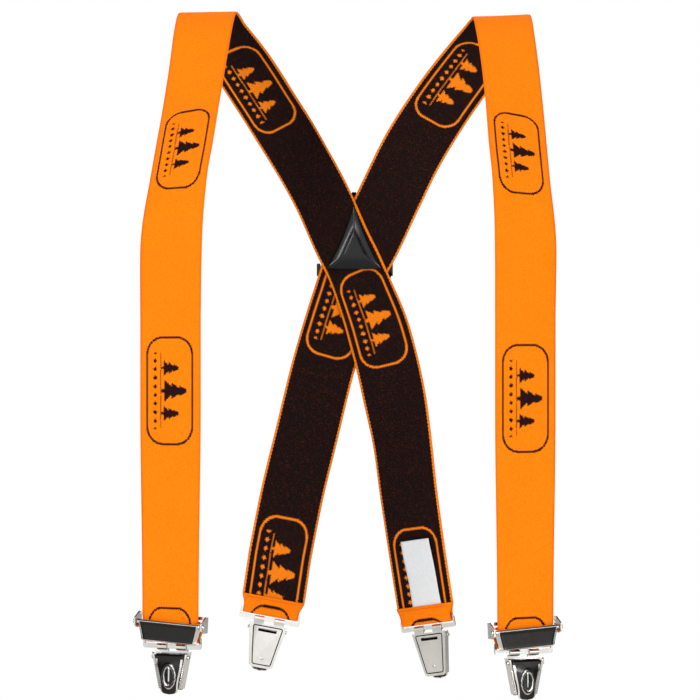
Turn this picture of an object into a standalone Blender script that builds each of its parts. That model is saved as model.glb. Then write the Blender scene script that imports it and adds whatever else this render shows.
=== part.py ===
"""X-back braces for forestry trousers: two crossing elastic straps, a cross plate, two adjusters, four clips.

The braces hang as they are worn. +X points to the wearer's left, +Y from the chest to the back and +Z up.
The origin lies midway between the two shoulder bends, at their height. All lengths here are millimetres.
Every clip, ring and adjuster is drawn in a local frame: x across the strap, -y outwards, z up the strap.
"""

from math import cos, pi, radians, sin

import bmesh
import bpy
from mathutils import Matrix, Vector

MM = 0.001
GAP = 0.3

STRAP_WIDTH = 50
STRAP_THICKNESS = 1.5
LOOP_WIDTH = 44
LOOP_RADIUS = 2.75
FOLD_HEIGHT = 12.5
FOLD_OFFSET = 0.95
SAMPLES_PER_STEP = 3

# The straight front run, along which the adjuster and the ring slide.
FRONT_Y = -152
FRONT_YAW = 27
RUN_SPLIT = -372

RING_WIDTH = 48
RING_TOP = 1.5
RING_BOTTOM = -7.7
RING_THICKNESS = 1.5
WINDOW_HALF = 22.5
WINDOW_TOP = -1.5
WINDOW_FOOT = -4.2
RAIL_Z = -6.3
RAIL_HALF_HEIGHT = 0.75

BASE_TOP_WIDTH = 29.4
BASE_FOOT_WIDTH = 18.4
BASE_INNER_Y = 2.4
METAL = 1.2
TAB_INNER = 4
TAB_OUTER = 12
TAB_FOOT = -3.4
KNUCKLE_X = 8
KNUCKLE_HALF = 3.9
KNUCKLE_BORE = 1.35
FLANGE_THICKNESS = 1.5
FLANGE_OUTER_Y = -4.2
PIN_Z = -7.5
PIN_Y = -2.2
PIN_RADIUS = 0.9
PIN_HEAD = 1.6
CURL_RADIUS = 2.7
TOOTH_TOP = -12
TOOTH_COUNT = 11
TOOTH_DEPTH = 0.5
PAD_HALF = 4.6
PAD_LENGTH = 7.5
PAD_THICKNESS = 1.6

FRAME_INNER = 27.0
FRAME_BACK = 1.5
FRAME_TOP = 17.5
FRAME_FOOT = 5.8
FRAME_BARS = {"crossbar": (6.6, 9.4), "back_bar": (14.8, 17.2)}
FRAME_BAR_DEPTH = (0.3, 1.48)
PLATE_PIN_Y = -5.9
PLATE_PIN_Z = 10.3
PLATE_PIN_RADIUS = 0.8
PLATE_HEIGHT = 13.4
PLATE_TOP_WIDTH = 52.4
PLATE_FOOT_WIDTH = 45

CROSS_Y = 85.1
CROSS_THICKNESS = 1.6

LABEL_SPAN = (-14.5, 10.5)
LABEL_LENGTH = 49
LABEL_THICKNESS = 0.4
SEAM_HEIGHT = 0.8
SEAM_DEPTH = 0.5

# Routes over each shoulder, from the top of the straight front run to the last point above the rear ring:
# the strap's centre (x, y, z), then the direction across it, pointing to +X.
LEFT_ROUTE = [
    (-128.0, -152, -230, 0.89, -0.45, 0.00),
    (-127.4, -150, -176, 0.91, -0.41, 0.03),
    (-123.4, -140, -136, 0.93, -0.34, 0.12),
    (-120.0, -119, -109, 0.95, -0.27, 0.15),
    (-116.2, -90, -77, 0.95, -0.27, 0.15),
    (-112.4, -62, -44, 0.96, -0.24, 0.12),
    (-109.6, -36, -16, 0.98, -0.18, 0.05),
    (-107.6, -12, -1, 0.98, -0.18, 0.00),
    (-105.4, 8, 0, 0.97, -0.22, 0.03),
    (-99.3, 28, -11.5, 0.92, -0.32, 0.22),
    (-84.6, 46, -32, 0.87, -0.36, 0.30),
    (-62.8, 65, -65, 0.87, -0.34, 0.36),
    (-41.4, 80, -99, 0.88, -0.10, 0.45),
    (-21.8, 87, -134, 0.89, 0.00, 0.46),
    (-5.6, 87, -170, 0.90, 0.00, 0.43),
    (5.1, 87, -192, 0.91, 0.00, 0.41),
    (14.8, 87, -216, 0.93, 0.00, 0.37),
    (23.7, 87, -241, 0.95, 0.00, 0.32),
    (33.1, 87, -277, 0.96, 0.00, 0.26),
    (42.0, 84, -324, 0.92, -0.35, 0.16),
    (47.9, 83, -371, 0.89, -0.43, 0.13),
    (54.8, 82, -419, 0.87, -0.46, 0.15),
]
RIGHT_ROUTE = [
    (128.0, -152, -230, 0.89, 0.45, 0.00),
    (128.2, -150, -176, 0.91, 0.41, -0.02),
    (125.9, -140, -136, 0.93, 0.34, -0.08),
    (124.4, -119, -109, 0.95, 0.28, -0.10),
    (123.2, -90, -77, 0.95, 0.27, -0.10),
    (121.2, -62, -44, 0.96, 0.24, -0.08),
    (118.9, -36, -18, 0.97, 0.22, -0.01),
    (117.4, -12, -3.5, 0.97, 0.20, 0.05),
    (115.6, 8, -3, 0.97, 0.22, 0.03),
    (109.8, 28, -13.5, 0.90, 0.30, -0.22),
    (97.2, 46, -32, 0.86, 0.28, -0.38),
    (72.8, 65, -65, 0.85, 0.24, -0.46),
    (51.2, 82, -99, 0.86, 0.08, -0.48),
    (33.9, 89, -134, 0.88, 0.00, -0.46),
    (16.9, 88.9, -170, 0.90, 0.00, -0.43),
    (5.1, 88.9, -192, 0.92, 0.00, -0.39),
    (-3.2, 88.9, -216, 0.94, 0.00, -0.33),
    (-11.2, 88.9, -241, 0.95, 0.00, -0.29),
    (-21.5, 88.9, -277, 0.96, 0.00, -0.27),
    (-32.9, 86, -324, 0.97, 0.06, -0.24),
    (-44.3, 84, -371, 0.97, 0.08, -0.22),
    (-53.8, 82, -419, 0.97, 0.09, -0.20),
]
SHOULDER_POINT = 7
SHOULDER_GAP = 1.4

# Ring bar centres, with the yaw of the outer side and the lean of the strap at each end.
BARS = {
    "front_left": dict(at=(-128.0, FRONT_Y, -464.7), yaw=-FRONT_YAW, lean=0, clip=31),
    "front_right": dict(at=(128.0, FRONT_Y, -468.7), yaw=FRONT_YAW, lean=0, clip=31),
    "rear_left": dict(at=(-61.0, 80, -464), yaw=180 + 5, lean=11, clip=38),
    "rear_right": dict(at=(62.5, 80, -470), yaw=180 - 28, lean=-10, clip=38),
}
ADJUSTER_TILT = {"left": 3, "right": -3}


def clear_scene():
    for obj in list(bpy.data.objects):
        bpy.data.objects.remove(obj, do_unlink=True)


def material(name, colour, roughness, metallic):
    made = bpy.data.materials.new(name)
    made.use_nodes = True
    shader = made.node_tree.nodes["Principled BSDF"]
    shader.inputs["Base Color"].default_value = (*colour, 1)
    shader.inputs["Roughness"].default_value = roughness
    shader.inputs["Metallic"].default_value = metallic
    return made


def make_materials():
    return {
        "webbing": material("orange_webbing", (1.0, 0.27, 0.005), 0.8, 0),
        "thread": material("orange_thread", (0.80, 0.10, 0.004), 0.7, 0),
        "label": material("white_satin", (0.85, 0.85, 0.83), 0.4, 0),
        "plastic": material("black_plastic", (0.01, 0.01, 0.01), 0.25, 0),
        "nickel": material("bright_nickel", (0.62, 0.60, 0.57), 0.15, 1),
        "steel": material("pin_steel", (0.50, 0.50, 0.50), 0.3, 1),
    }


def link(obj, parent=None, matrix=None):
    bpy.context.scene.collection.objects.link(obj)
    obj.parent = parent
    obj.matrix_local = matrix or Matrix()
    return obj


def axis_empty(name, parent=None, matrix=None):
    empty = bpy.data.objects.new(name, None)
    empty.empty_display_size = 5 * MM
    return link(empty, parent, matrix)


def solid(name, mesh_data, look, parent):
    bmesh.ops.recalc_face_normals(mesh_data, faces=mesh_data.faces)
    mesh = bpy.data.meshes.new(name)
    mesh_data.to_mesh(mesh)
    mesh_data.free()
    mesh.shade_smooth()
    mesh.set_sharp_from_angle(angle=radians(35))
    if look:
        mesh.materials.append(look)
    return link(bpy.data.objects.new(name, mesh), parent)


def helper(name, mesh_data, parent):
    made = solid(name, mesh_data, None, parent)
    made.hide_render = True
    made.display_type = "WIRE"
    return made


def combine(obj, other, operation):
    change = obj.modifiers.new(other.name, "BOOLEAN")
    change.operation = operation
    change.solver = "EXACT"
    change.object = other


def prism(outline, start, end, axis):
    """An outline swept from start to end along the axis: along y it is (x, z), along x it is (y, z)."""
    mesh_data = bmesh.new()
    loops = []
    for along in (start, end):
        if axis == "y":
            points = [(a, along, b) for a, b in outline]
        else:
            points = [(along, a, b) for a, b in outline]
        loops.append([mesh_data.verts.new(Vector(p) * MM) for p in points])
    count = len(outline)
    for i in range(count):
        j = (i + 1) % count
        mesh_data.faces.new((loops[0][i], loops[0][j], loops[1][j], loops[1][i]))
    mesh_data.faces.new(loops[0][::-1])
    mesh_data.faces.new(loops[1])
    return mesh_data


def box(x, y, z):
    """A box from three (low, high) pairs in millimetres."""
    outline = [(x[0], z[0]), (x[1], z[0]), (x[1], z[1]), (x[0], z[1])]
    return prism(outline, y[0], y[1], "y")


def turned(profile, centre, sides=16):
    """A profile of (x, radius) pairs turned about the x axis through centre (y, z)."""
    mesh_data = bmesh.new()
    rings = []
    for along, radius in profile:
        ring = []
        for i in range(sides):
            angle = 2 * pi * i / sides
            point = (along, centre[0] + radius * cos(angle), centre[1] + radius * sin(angle))
            ring.append(mesh_data.verts.new(Vector(point) * MM))
        rings.append(ring)
    for low, high in zip(rings, rings[1:]):
        for i in range(sides):
            j = (i + 1) % sides
            mesh_data.faces.new((low[i], low[j], high[j], high[i]))
    mesh_data.faces.new(rings[0][::-1])
    mesh_data.faces.new(rings[-1])
    return mesh_data


def tube(half_length, inner, outer, centre, middle=0, sides=16):
    """A straight tube along x."""
    left = middle - half_length
    right = middle + half_length
    mesh_data = bmesh.new()
    rings = []
    for along, radius in ((left, outer), (right, outer), (right, inner), (left, inner)):
        ring = []
        for i in range(sides):
            angle = 2 * pi * i / sides
            point = (along, centre[0] + radius * cos(angle), centre[1] + radius * sin(angle))
            ring.append(mesh_data.verts.new(Vector(point) * MM))
        rings.append(ring)
    for k in range(4):
        for i in range(sides):
            j = (i + 1) % sides
            near, far = rings[k], rings[(k + 1) % 4]
            mesh_data.faces.new((near[i], near[j], far[j], far[i]))
    return mesh_data


def rounded(points, radius, steps=3):
    """The outline with every corner cut back by radius and rounded by a short curve."""
    made = []
    for i, corner in enumerate(points):
        corner = Vector(corner)
        before = (Vector(points[i - 1]) - corner).normalized() * radius
        after = (Vector(points[(i + 1) % len(points)]) - corner).normalized() * radius
        for k in range(steps + 1):
            t = k / steps
            made.append(tuple(corner + before * (1 - t) ** 2 + after * t**2))
    return made


def ribbon(name, stations, look):
    """A strap of rectangular section through stations of (centre, across, half width)."""
    mesh_data = bmesh.new()
    sections = []
    for i, (centre, across, half) in enumerate(stations):
        before = stations[max(i - 1, 0)][0]
        after = stations[min(i + 1, len(stations) - 1)][0]
        tangent = (after - before).normalized()
        level = (across - tangent * across.dot(tangent)).normalized()
        through = tangent.cross(level) * STRAP_THICKNESS / 2
        section = []
        for side, face in ((-1, -1), (1, -1), (1, 1), (-1, 1)):
            section.append(mesh_data.verts.new((centre + level * side * half + through * face) * MM))
        sections.append(section)
    for low, high in zip(sections, sections[1:]):
        for i in range(4):
            j = (i + 1) % 4
            mesh_data.faces.new((low[i], low[j], high[j], high[i]))
    mesh_data.faces.new(sections[0][::-1])
    mesh_data.faces.new(sections[-1])
    return solid(name, mesh_data, look, None)


def through_points(points, samples):
    """A Catmull-Rom curve through (x, y, z, across x, across y, across z), as (centre, across) pairs."""
    made = []
    for i in range(len(points) - 1):
        p0 = points[max(i - 1, 0)]
        p1 = points[i]
        p2 = points[i + 1]
        p3 = points[min(i + 2, len(points) - 1)]
        for k in range(samples):
            t = k / samples
            row = [
                b + ((c - a) * t + (2 * a - 5 * b + 4 * c - d) * t**2 + (3 * b - a - 3 * c + d) * t**3) / 2
                for a, b, c, d in zip(p0, p1, p2, p3)
            ]
            made.append((Vector(row[:3]), Vector(row[3:])))
    made.append((Vector(points[-1][:3]), Vector(points[-1][3:])))
    return made


def bar_frame(end):
    """The local frame of a ring's upper bar: its position, its yaw about the vertical, its strap's lean."""
    spot = BARS[end]
    turn = Matrix.Rotation(radians(spot["lean"]), 4, "Y") @ Matrix.Rotation(radians(spot["yaw"]), 4, "Z")
    place = Matrix.Translation(Vector(spot["at"]) * MM) @ turn
    if end.startswith("front"):
        place @= Matrix.Translation((0, LOOP_RADIUS * MM, 0))
    return place


def local_stations(end, rows):
    """Stations in a bar's frame, from (outward, up, half width) rows, as ribbon stations in millimetres."""
    place = bar_frame(end)
    across = (place.to_3x3() @ Vector((1, 0, 0))).normalized()
    return [((place @ Vector((0, -out * MM, up * MM))) / MM, across, half) for out, up, half in rows]


def half_turn(centre_out, centre_up, radius, first, last, half, steps=8):
    rows = []
    for k in range(steps + 1):
        angle = radians(first + (last - first) * k / steps)
        rows.append((centre_out + radius * cos(angle), centre_up + radius * sin(angle), half))
    return rows


def front_run_rows(bar_z):
    """Down the outer layer, round the ring's bar, up as the tail, and over the adjuster's crossbar."""
    full, narrow = STRAP_WIDTH / 2, LOOP_WIDTH / 2
    rows = [(LOOP_RADIUS, RUN_SPLIT - GAP - bar_z, full), (LOOP_RADIUS, 24, full), (LOOP_RADIUS, 5, narrow)]
    rows += half_turn(0, 0, LOOP_RADIUS, 0, -180, narrow)
    rows += half_turn(-0.9, 10.2, 1.85, 180, 0, narrow)
    rows.append((0.95, 4, narrow))
    return rows


def rear_fold_rows():
    """From above the fold, down the outer layer, round the ring's bar and up to the stitched end."""
    narrow = LOOP_WIDTH / 2
    rows = [(FOLD_OFFSET, FOLD_HEIGHT + 1.5, STRAP_WIDTH / 2), (1.25, 9, 23.5), (2.3, 4.5, narrow)]
    rows += half_turn(0, 0, LOOP_RADIUS, 0, -180, narrow)
    rows += [(-2.3, 4.5, narrow), (-1.25, 9, 23.5), (-FOLD_OFFSET, FOLD_HEIGHT, 24.5)]
    return rows


def make_strap(side, route, far_end, looks):
    """One continuous strap as three solids: front run, shoulder to rear clip, and the sliding lower run."""
    webbing = looks["webbing"]
    half = STRAP_WIDTH / 2
    curve = [(centre, across, half) for centre, across in through_points(route, SAMPLES_PER_STEP)]
    top = SHOULDER_POINT * SAMPLES_PER_STEP
    start = curve[0][0]
    foot = (Vector((start.x, start.y, RUN_SPLIT)), curve[0][1], half)
    ribbon(f"{side}_strap_front", [foot] + curve[: top + 1], webbing)
    step = (curve[top + 1][0] - curve[top][0]).normalized() * SHOULDER_GAP
    first = (curve[top][0] + step, curve[top][1], half)
    fold = local_stations(far_end, rear_fold_rows())
    turned_back = [(centre, -across, half) for centre, across, half in fold]
    ribbon(f"{side}_strap_back", [first] + curve[top + 1 :] + turned_back, webbing)
    near_end = f"front_{side}"
    run = local_stations(near_end, front_run_rows(BARS[near_end]["at"][2]))
    ribbon(f"{side}_strap_lower", run, webbing)


def make_ring(end, parent, looks):
    """A stamped ring: a bar above for the strap's loop, and a rail below, notched for the clip's knuckles."""
    half = RING_WIDTH / 2
    outline = [(-half, RING_BOTTOM), (half, RING_BOTTOM), (half, RING_TOP), (-half, RING_TOP)]
    thick = RING_THICKNESS / 2
    ring = solid(f"{end}_ring", prism(rounded(outline, 2), -thick, thick, "y"), looks["nickel"], parent)
    opening = box((-WINDOW_HALF, WINDOW_HALF), (-3, 3), (WINDOW_FOOT, WINDOW_TOP))
    combine(ring, helper(f"{end}_ring_window", opening, parent), "DIFFERENCE")
    reach = KNUCKLE_HALF + GAP
    above = (RAIL_Z + RAIL_HALF_HEIGHT, WINDOW_FOOT + 1)
    below = (RING_BOTTOM - 1, RAIL_Z - RAIL_HALF_HEIGHT)
    for side, word in ((-1, "a"), (1, "b")):
        span = (side * KNUCKLE_X - reach, side * KNUCKLE_X + reach)
        for level, heights in (("upper", above), ("lower", below)):
            notch = helper(f"{end}_{level}_notch_{word}", box(span, (-3, 3), heights), parent)
            combine(ring, notch, "DIFFERENCE")


def base_outline(length):
    """The clip's base plate with its two hinge tabs at the top, seen from the outer side."""
    top, foot = BASE_TOP_WIDTH / 2, BASE_FOOT_WIDTH / 2
    right = [(TAB_INNER, TAB_FOOT), (TAB_INNER, 0), (TAB_OUTER, 0), (TAB_OUTER, TAB_FOOT), (top, TAB_FOOT)]
    right += [(foot, -length + 2), (foot - 2, -length)]
    return [(-x, z) for x, z in reversed(right)] + right


def flange_outline(length):
    """The side wall of the base, with teeth along its outer edge."""
    teeth = []
    last = -length + 1
    pitch = (last - TOOTH_TOP) / TOOTH_COUNT
    for i in range(TOOTH_COUNT):
        start = TOOTH_TOP + i * pitch
        teeth.append((FLANGE_OUTER_Y, start))
        teeth.append((FLANGE_OUTER_Y + TOOTH_DEPTH, start + pitch / 2))
    back = BASE_INNER_Y - 0.2
    return [(back, last), (back, -4), (-3.4, -4), (FLANGE_OUTER_Y, -5)] + teeth + [(FLANGE_OUTER_Y, last)]


def base_half_width(z, length):
    """Half the width of the base plate at height z."""
    share = (TAB_FOOT - z) / (length - 2 + TAB_FOOT)
    return (BASE_TOP_WIDTH + (BASE_FOOT_WIDTH - BASE_TOP_WIDTH) * share) / 2


def flange_mesh(length, side):
    """The side wall, sheared so that it follows the base plate's slanted edge."""
    mesh_data = prism(flange_outline(length), -0.1, FLANGE_THICKNESS, "x")
    for vert in mesh_data.verts:
        edge = base_half_width(vert.co.z / MM, length)
        vert.co.x = side * (edge * MM - vert.co.x)
    return mesh_data


def make_clip_base(end, length, parent, looks):
    """A channel: base plate on the inner side, toothed side walls, two curled knuckles on the ring's rail."""
    plate = prism(base_outline(length), BASE_INNER_Y - METAL, BASE_INNER_Y, "y")
    base = solid(f"{end}_clip_base", plate, looks["nickel"], parent)
    for side, word in ((-1, "a"), (1, "b")):
        flange = helper(f"{end}_flange_{word}", flange_mesh(length, side), parent)
        knuckle = tube(KNUCKLE_HALF, KNUCKLE_BORE, BASE_INNER_Y + 0.06, (0, 0), side * KNUCKLE_X)
        combine(base, flange, "UNION")
        combine(base, helper(f"{end}_knuckle_{word}", knuckle, parent), "UNION")
    bore = turned([(-20, PIN_RADIUS + GAP), (20, PIN_RADIUS + GAP)], (PIN_Y, PIN_Z), 12)
    combine(base, helper(f"{end}_pin_bore", bore, parent), "DIFFERENCE")
    slot = box((-7.4, 7.4), (0, 4), (-9.6, -7.0))
    combine(base, helper(f"{end}_slot", slot, parent), "DIFFERENCE")


def make_clip_pin(end, length, parent, looks):
    """The hinge pin of the lever, headed at both ends outside the side walls."""
    wall = base_half_width(PIN_Z + PIN_HEAD, length) + 0.1 + GAP
    profile = [
        (-wall - 1.0, 1.0),
        (-wall - 0.6, PIN_HEAD),
        (-wall, PIN_HEAD),
        (-wall, PIN_RADIUS),
        (wall, PIN_RADIUS),
        (wall, PIN_HEAD),
        (wall + 0.6, PIN_HEAD),
        (wall + 1.0, 1.0),
    ]
    solid(f"{end}_clip_pin", turned(profile, (PIN_Y, PIN_Z), 12), looks["steel"], parent)


def make_lever(end, length, parent, looks):
    """The lever in its own frame at the pin: a curl round the pin and a tapering panel, round at its nose."""
    curl_half = base_half_width(PIN_Z, length) - FLANGE_THICKNESS - 0.8
    curl = tube(curl_half, PIN_RADIUS + GAP, CURL_RADIUS, (0, 0))
    nose = -(length + 3 + PIN_Z)
    foot_half = BASE_FOOT_WIDTH / 2 - FLANGE_THICKNESS - 0.9
    tip = [radians(a) for a in range(180, 361, 20)]
    outline = [(foot_half * cos(a), nose + 4.5 + 4.5 * sin(a)) for a in tip]
    outline = [(-curl_half, -0.6), *outline, (curl_half, -0.6)]
    panel = prism(outline, -CURL_RADIUS, -CURL_RADIUS + METAL, "y")
    lever = solid(f"{end}_clip_lever", panel, looks["nickel"], parent)
    combine(lever, helper(f"{end}_lever_curl", curl, parent), "UNION")
    foot, back = nose + 5.5, -CURL_RADIUS + METAL + GAP
    pad = box((-PAD_HALF, PAD_HALF), (back, back + PAD_THICKNESS), (foot, foot + PAD_LENGTH))
    solid(f"{end}_clip_pad", pad, looks["plastic"], parent)


def make_clip(end, looks):
    """Ring, clip and lever, each under an empty on its hinge axis."""
    length = BARS[end]["clip"]
    ring = axis_empty(f"{end}_ring_axis", None, bar_frame(end))
    make_ring(end, ring, looks)
    clip = axis_empty(f"{end}_clip_axis", ring, Matrix.Translation((0, 0, RAIL_Z * MM)))
    make_clip_base(end, length, clip, looks)
    make_clip_pin(end, length, clip, looks)
    lever = axis_empty(f"{end}_lever_axis", clip, Matrix.Translation((0, PIN_Y * MM, PIN_Z * MM)))
    make_lever(end, length, lever, looks)


def make_adjuster(side, looks):
    """A frame round the front run, with a flip plate that clamps it, on a headed pin."""
    tilt = Matrix.Rotation(radians(ADJUSTER_TILT[side]), 4, "Y")
    frame = axis_empty(f"{side}_adjuster_axis", None, bar_frame(f"front_{side}") @ tilt)
    wall = FRAME_INNER + METAL
    outline = [(FRAME_BACK, FRAME_FOOT), (FRAME_BACK, FRAME_TOP), (-1.2, FRAME_TOP)]
    outline += [(-7.8, 13.0), (-7.8, 7.6), (-4.6, FRAME_FOOT)]
    sides = [prism(outline, *span, "x") for span in ((-wall, -FRAME_INNER), (FRAME_INNER, wall))]
    body = solid(f"{side}_adjuster_frame", sides[0], looks["nickel"], frame)
    combine(body, helper(f"{side}_frame_wall", sides[1], frame), "UNION")
    span = (-wall + 0.4, wall - 0.4)
    for word, heights in FRAME_BARS.items():
        combine(body, helper(f"{side}_{word}", box(span, FRAME_BAR_DEPTH, heights), frame), "UNION")
    bore_radius = PLATE_PIN_RADIUS + GAP
    bore = turned([(-30, bore_radius), (30, bore_radius)], (PLATE_PIN_Y, PLATE_PIN_Z), 12)
    combine(body, helper(f"{side}_frame_bore", bore, frame), "DIFFERENCE")
    head = wall + GAP
    profile = [(-head - 1, 1.3), (-head - 0.5, 1.8), (-head, 1.8), (-head, PLATE_PIN_RADIUS)]
    profile += [(-x, radius) for x, radius in reversed(profile)]
    solid(f"{side}_adjuster_pin", turned(profile, (PLATE_PIN_Y, PLATE_PIN_Z), 12), looks["steel"], frame)
    spot = Matrix.Translation((0, PLATE_PIN_Y * MM, PLATE_PIN_Z * MM))
    hinge = axis_empty(f"{side}_plate_axis", frame, spot)
    top, foot = PLATE_TOP_WIDTH / 2, PLATE_FOOT_WIDTH / 2
    cover = [(-top, 0), (-foot, -PLATE_HEIGHT), (foot, -PLATE_HEIGHT), (top, 0)]
    plate = solid(f"{side}_adjuster_plate", prism(cover, -1.9, -0.9, "y"), looks["nickel"], hinge)
    roll = helper(f"{side}_plate_roll", tube(top, 1.1, 1.95, (0, 0)), hinge)
    combine(plate, roll, "UNION")
    lip = helper(f"{side}_plate_lip", box((-24, 24), (1.3, 2.1), (-0.9, 0.9)), hinge)
    combine(plate, lip, "UNION")


def make_cross_plate(looks):
    """A three-slot plate: the straps pass behind its centre."""
    outline = [(-23.7, -201.5), (33.1, -201.5), (33.1, -190), (8.5, -131.5), (1.0, -131.5), (-23.7, -190)]
    low, high = CROSS_Y - CROSS_THICKNESS / 2, CROSS_Y + CROSS_THICKNESS / 2
    plate = solid("cross_plate", prism(rounded(outline, 2), low, high, "y"), looks["plastic"], None)
    slots = {
        "left_slot": [(-18.8, -190.5), (-14.2, -190.5), (4.2, -146.5), (1.0, -142.5)],
        "right_slot": [(28.2, -190.5), (23.6, -190.5), (5.2, -146.5), (8.4, -142.5)],
        "foot_slot": [(-17.5, -198.0), (27.0, -198.0), (27.0, -193.2), (-17.5, -193.2)],
    }
    for word, corners in slots.items():
        cutter = helper(f"cross_plate_{word}", prism(corners, low - 2, high + 2, "y"), None)
        combine(plate, cutter, "DIFFERENCE")


def make_trim(looks):
    """The care label above the rear right fold and the stitch rows of the folded ends."""
    right = axis_empty("label_axis", None, bar_frame("rear_right"))
    inner = -FOLD_OFFSET + STRAP_THICKNESS / 2 + GAP
    foot = FOLD_HEIGHT + 1
    label = box(LABEL_SPAN, (inner, inner + LABEL_THICKNESS), (foot, foot + LABEL_LENGTH))
    solid("care_label", label, looks["label"], right)
    for side in ("left", "right"):
        rear = axis_empty(f"{side}_seam_axis", None, bar_frame(f"rear_{side}"))
        face = FOLD_OFFSET + STRAP_THICKNESS / 2 + 0.75
        foot = FOLD_HEIGHT - 3.4
        rear_seam = box((-20, 20), (face, face + SEAM_DEPTH), (foot, foot + SEAM_HEIGHT))
        solid(f"{side}_rear_seam", rear_seam, looks["thread"], rear)
        front = axis_empty(f"{side}_tail_axis", None, bar_frame(f"front_{side}"))
        face = LOOP_RADIUS + STRAP_THICKNESS / 2 + GAP
        tail_seam = box((-18, 18), (face, face + SEAM_DEPTH), (4.2, 4.2 + SEAM_HEIGHT))
        solid(f"{side}_tail_seam", tail_seam, looks["thread"], front)


def main():
    clear_scene()
    looks = make_materials()
    make_strap("left", LEFT_ROUTE, "rear_right", looks)
    make_strap("right", RIGHT_ROUTE, "rear_left", looks)
    make_cross_plate(looks)
    make_trim(looks)
    for end in BARS:
        make_clip(end, looks)
    for side in ("left", "right"):
        make_adjuster(side, looks)
    bpy.context.view_layer.update()


main()
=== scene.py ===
"""The looks of the X-back braces: woven jacquard straps, a moulded cross plate and bright nickel hardware.

Every length is in metres, in the frame of the CAD model. The straps hang as they are worn.
"""

from math import cos, pi, radians, sin

import bmesh
import bpy
import numpy as np
from mathutils import Matrix, Vector


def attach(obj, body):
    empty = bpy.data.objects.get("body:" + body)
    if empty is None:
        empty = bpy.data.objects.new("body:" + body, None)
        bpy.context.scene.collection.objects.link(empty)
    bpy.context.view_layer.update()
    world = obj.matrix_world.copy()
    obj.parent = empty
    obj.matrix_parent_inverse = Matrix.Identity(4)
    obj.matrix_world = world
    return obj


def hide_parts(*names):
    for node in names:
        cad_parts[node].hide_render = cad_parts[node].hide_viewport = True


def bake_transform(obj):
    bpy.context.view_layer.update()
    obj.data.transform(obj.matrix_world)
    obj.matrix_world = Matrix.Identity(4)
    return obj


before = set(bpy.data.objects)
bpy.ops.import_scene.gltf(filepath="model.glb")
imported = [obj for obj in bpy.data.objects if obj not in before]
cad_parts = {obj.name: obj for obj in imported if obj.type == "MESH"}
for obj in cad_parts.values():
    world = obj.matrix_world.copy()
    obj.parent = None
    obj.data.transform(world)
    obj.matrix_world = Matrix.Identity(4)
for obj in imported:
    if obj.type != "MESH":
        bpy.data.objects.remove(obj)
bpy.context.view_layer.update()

MM = 0.001

# The straps, which are gathered to LOOP_WIDTH where they go round a ring.
STRAP_WIDTH = 0.050
STRAP_THICKNESS = 0.0012
LOOP_WIDTH = 0.044
LOOP_RADIUS = 0.00275
FOLD_HEIGHT = 0.0125
FOLD_OFFSET = 0.00095
SEAM_DROP = 0.003
FRONT_Y = -0.152
FRONT_YAW = 27
STRAIGHT_TOP = -0.230
STRAIGHT_ROWS = 90
HALF_TURN_ROWS = 15
STRAP_COLUMNS = 20
SAMPLES_PER_STEP = 18

# Pulled elastic is this much narrower on each side over the shoulder.
SHOULDER_PINCH = 0.0025

# The tail goes over the adjuster's crossbar and ends in a flap.
TAIL_BULGE = 0.0028
CROSSBAR = (-0.0009, 0.0102)
CROSSBAR_RADIUS = 0.00185
FLAP_SEAM_HEIGHT = 0.0046

# The woven badge repeats along the strap.
BADGE_REPEAT = 0.200
BADGE_HALF_LENGTH = 0.045

# The clips: where their rail and pin are, and the pressed details of base and lever.
RAIL_Z = -0.0063
PIN_Y = -0.0022
PIN_Z = -0.0075
CURL_RADIUS = 0.0027
CURL_ROWS = 16
BASE_BACK = 0.0024
RIM_WIDTH = 0.00045
RIM_HEIGHT = 0.0003
DIMPLE_RADIUS = 0.0013
LEVER_HALF_WIDTH = {"front": 0.0113, "rear": 0.0116}
LEVER_CROWN = 0.0011
NOSE_HALF_WIDTH = 0.0072
NOSE_REACH = 0.003
EMBOSS_SIZE = (0.0047, 0.0078)
EMBOSS_HEIGHT = 0.0008

# The adjusters' flip plates: half widths at the top and the foot, and the height.
COVER_SIZE = (0.0262, 0.0225, 0.0134)
PLATE_PIN = (0, -0.0059, 0.0103)
ROLL_RADIUS = 0.00195
ROLL_ROWS = 20

# The cross plate: a triangle of bars, and a dished centre that the straps pass behind.
CROSS_X = 0.0047
CROSS_Y = 0.0851
BAR_WIDTH = 0.0030
BAR_DEPTH = 0.0012
CENTRE_HALF_FOOT = 0.0212
CENTRE_FOOT_Z = -0.1905
CENTRE_SIDE_NORMAL = (0.9236, 0.3835)
FOOT_BAR_Z = -0.1960

# The straps change from bars to centre within CROSSING of its sides. They lie on the plate up to the first
# distance of PLATE_REACH and are free from the second. Their backs have y above BACK_Y.
CROSSING = 0.0045
PLATE_REACH = (0.004, 0.036)
BACK_Y = 0.05

# The seams and the label. Threads and rims have ROUND_SIDES.
ROUND_SIDES = 8
THREAD_RADIUS = 0.00026
THREAD_RISE = 0.00022
LABEL_SIZE = (0.025, 0.0545)
LABEL_LEFT = -0.0145
LABEL_THICKNESS = 0.0003
LABEL_ROWS = 40

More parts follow.
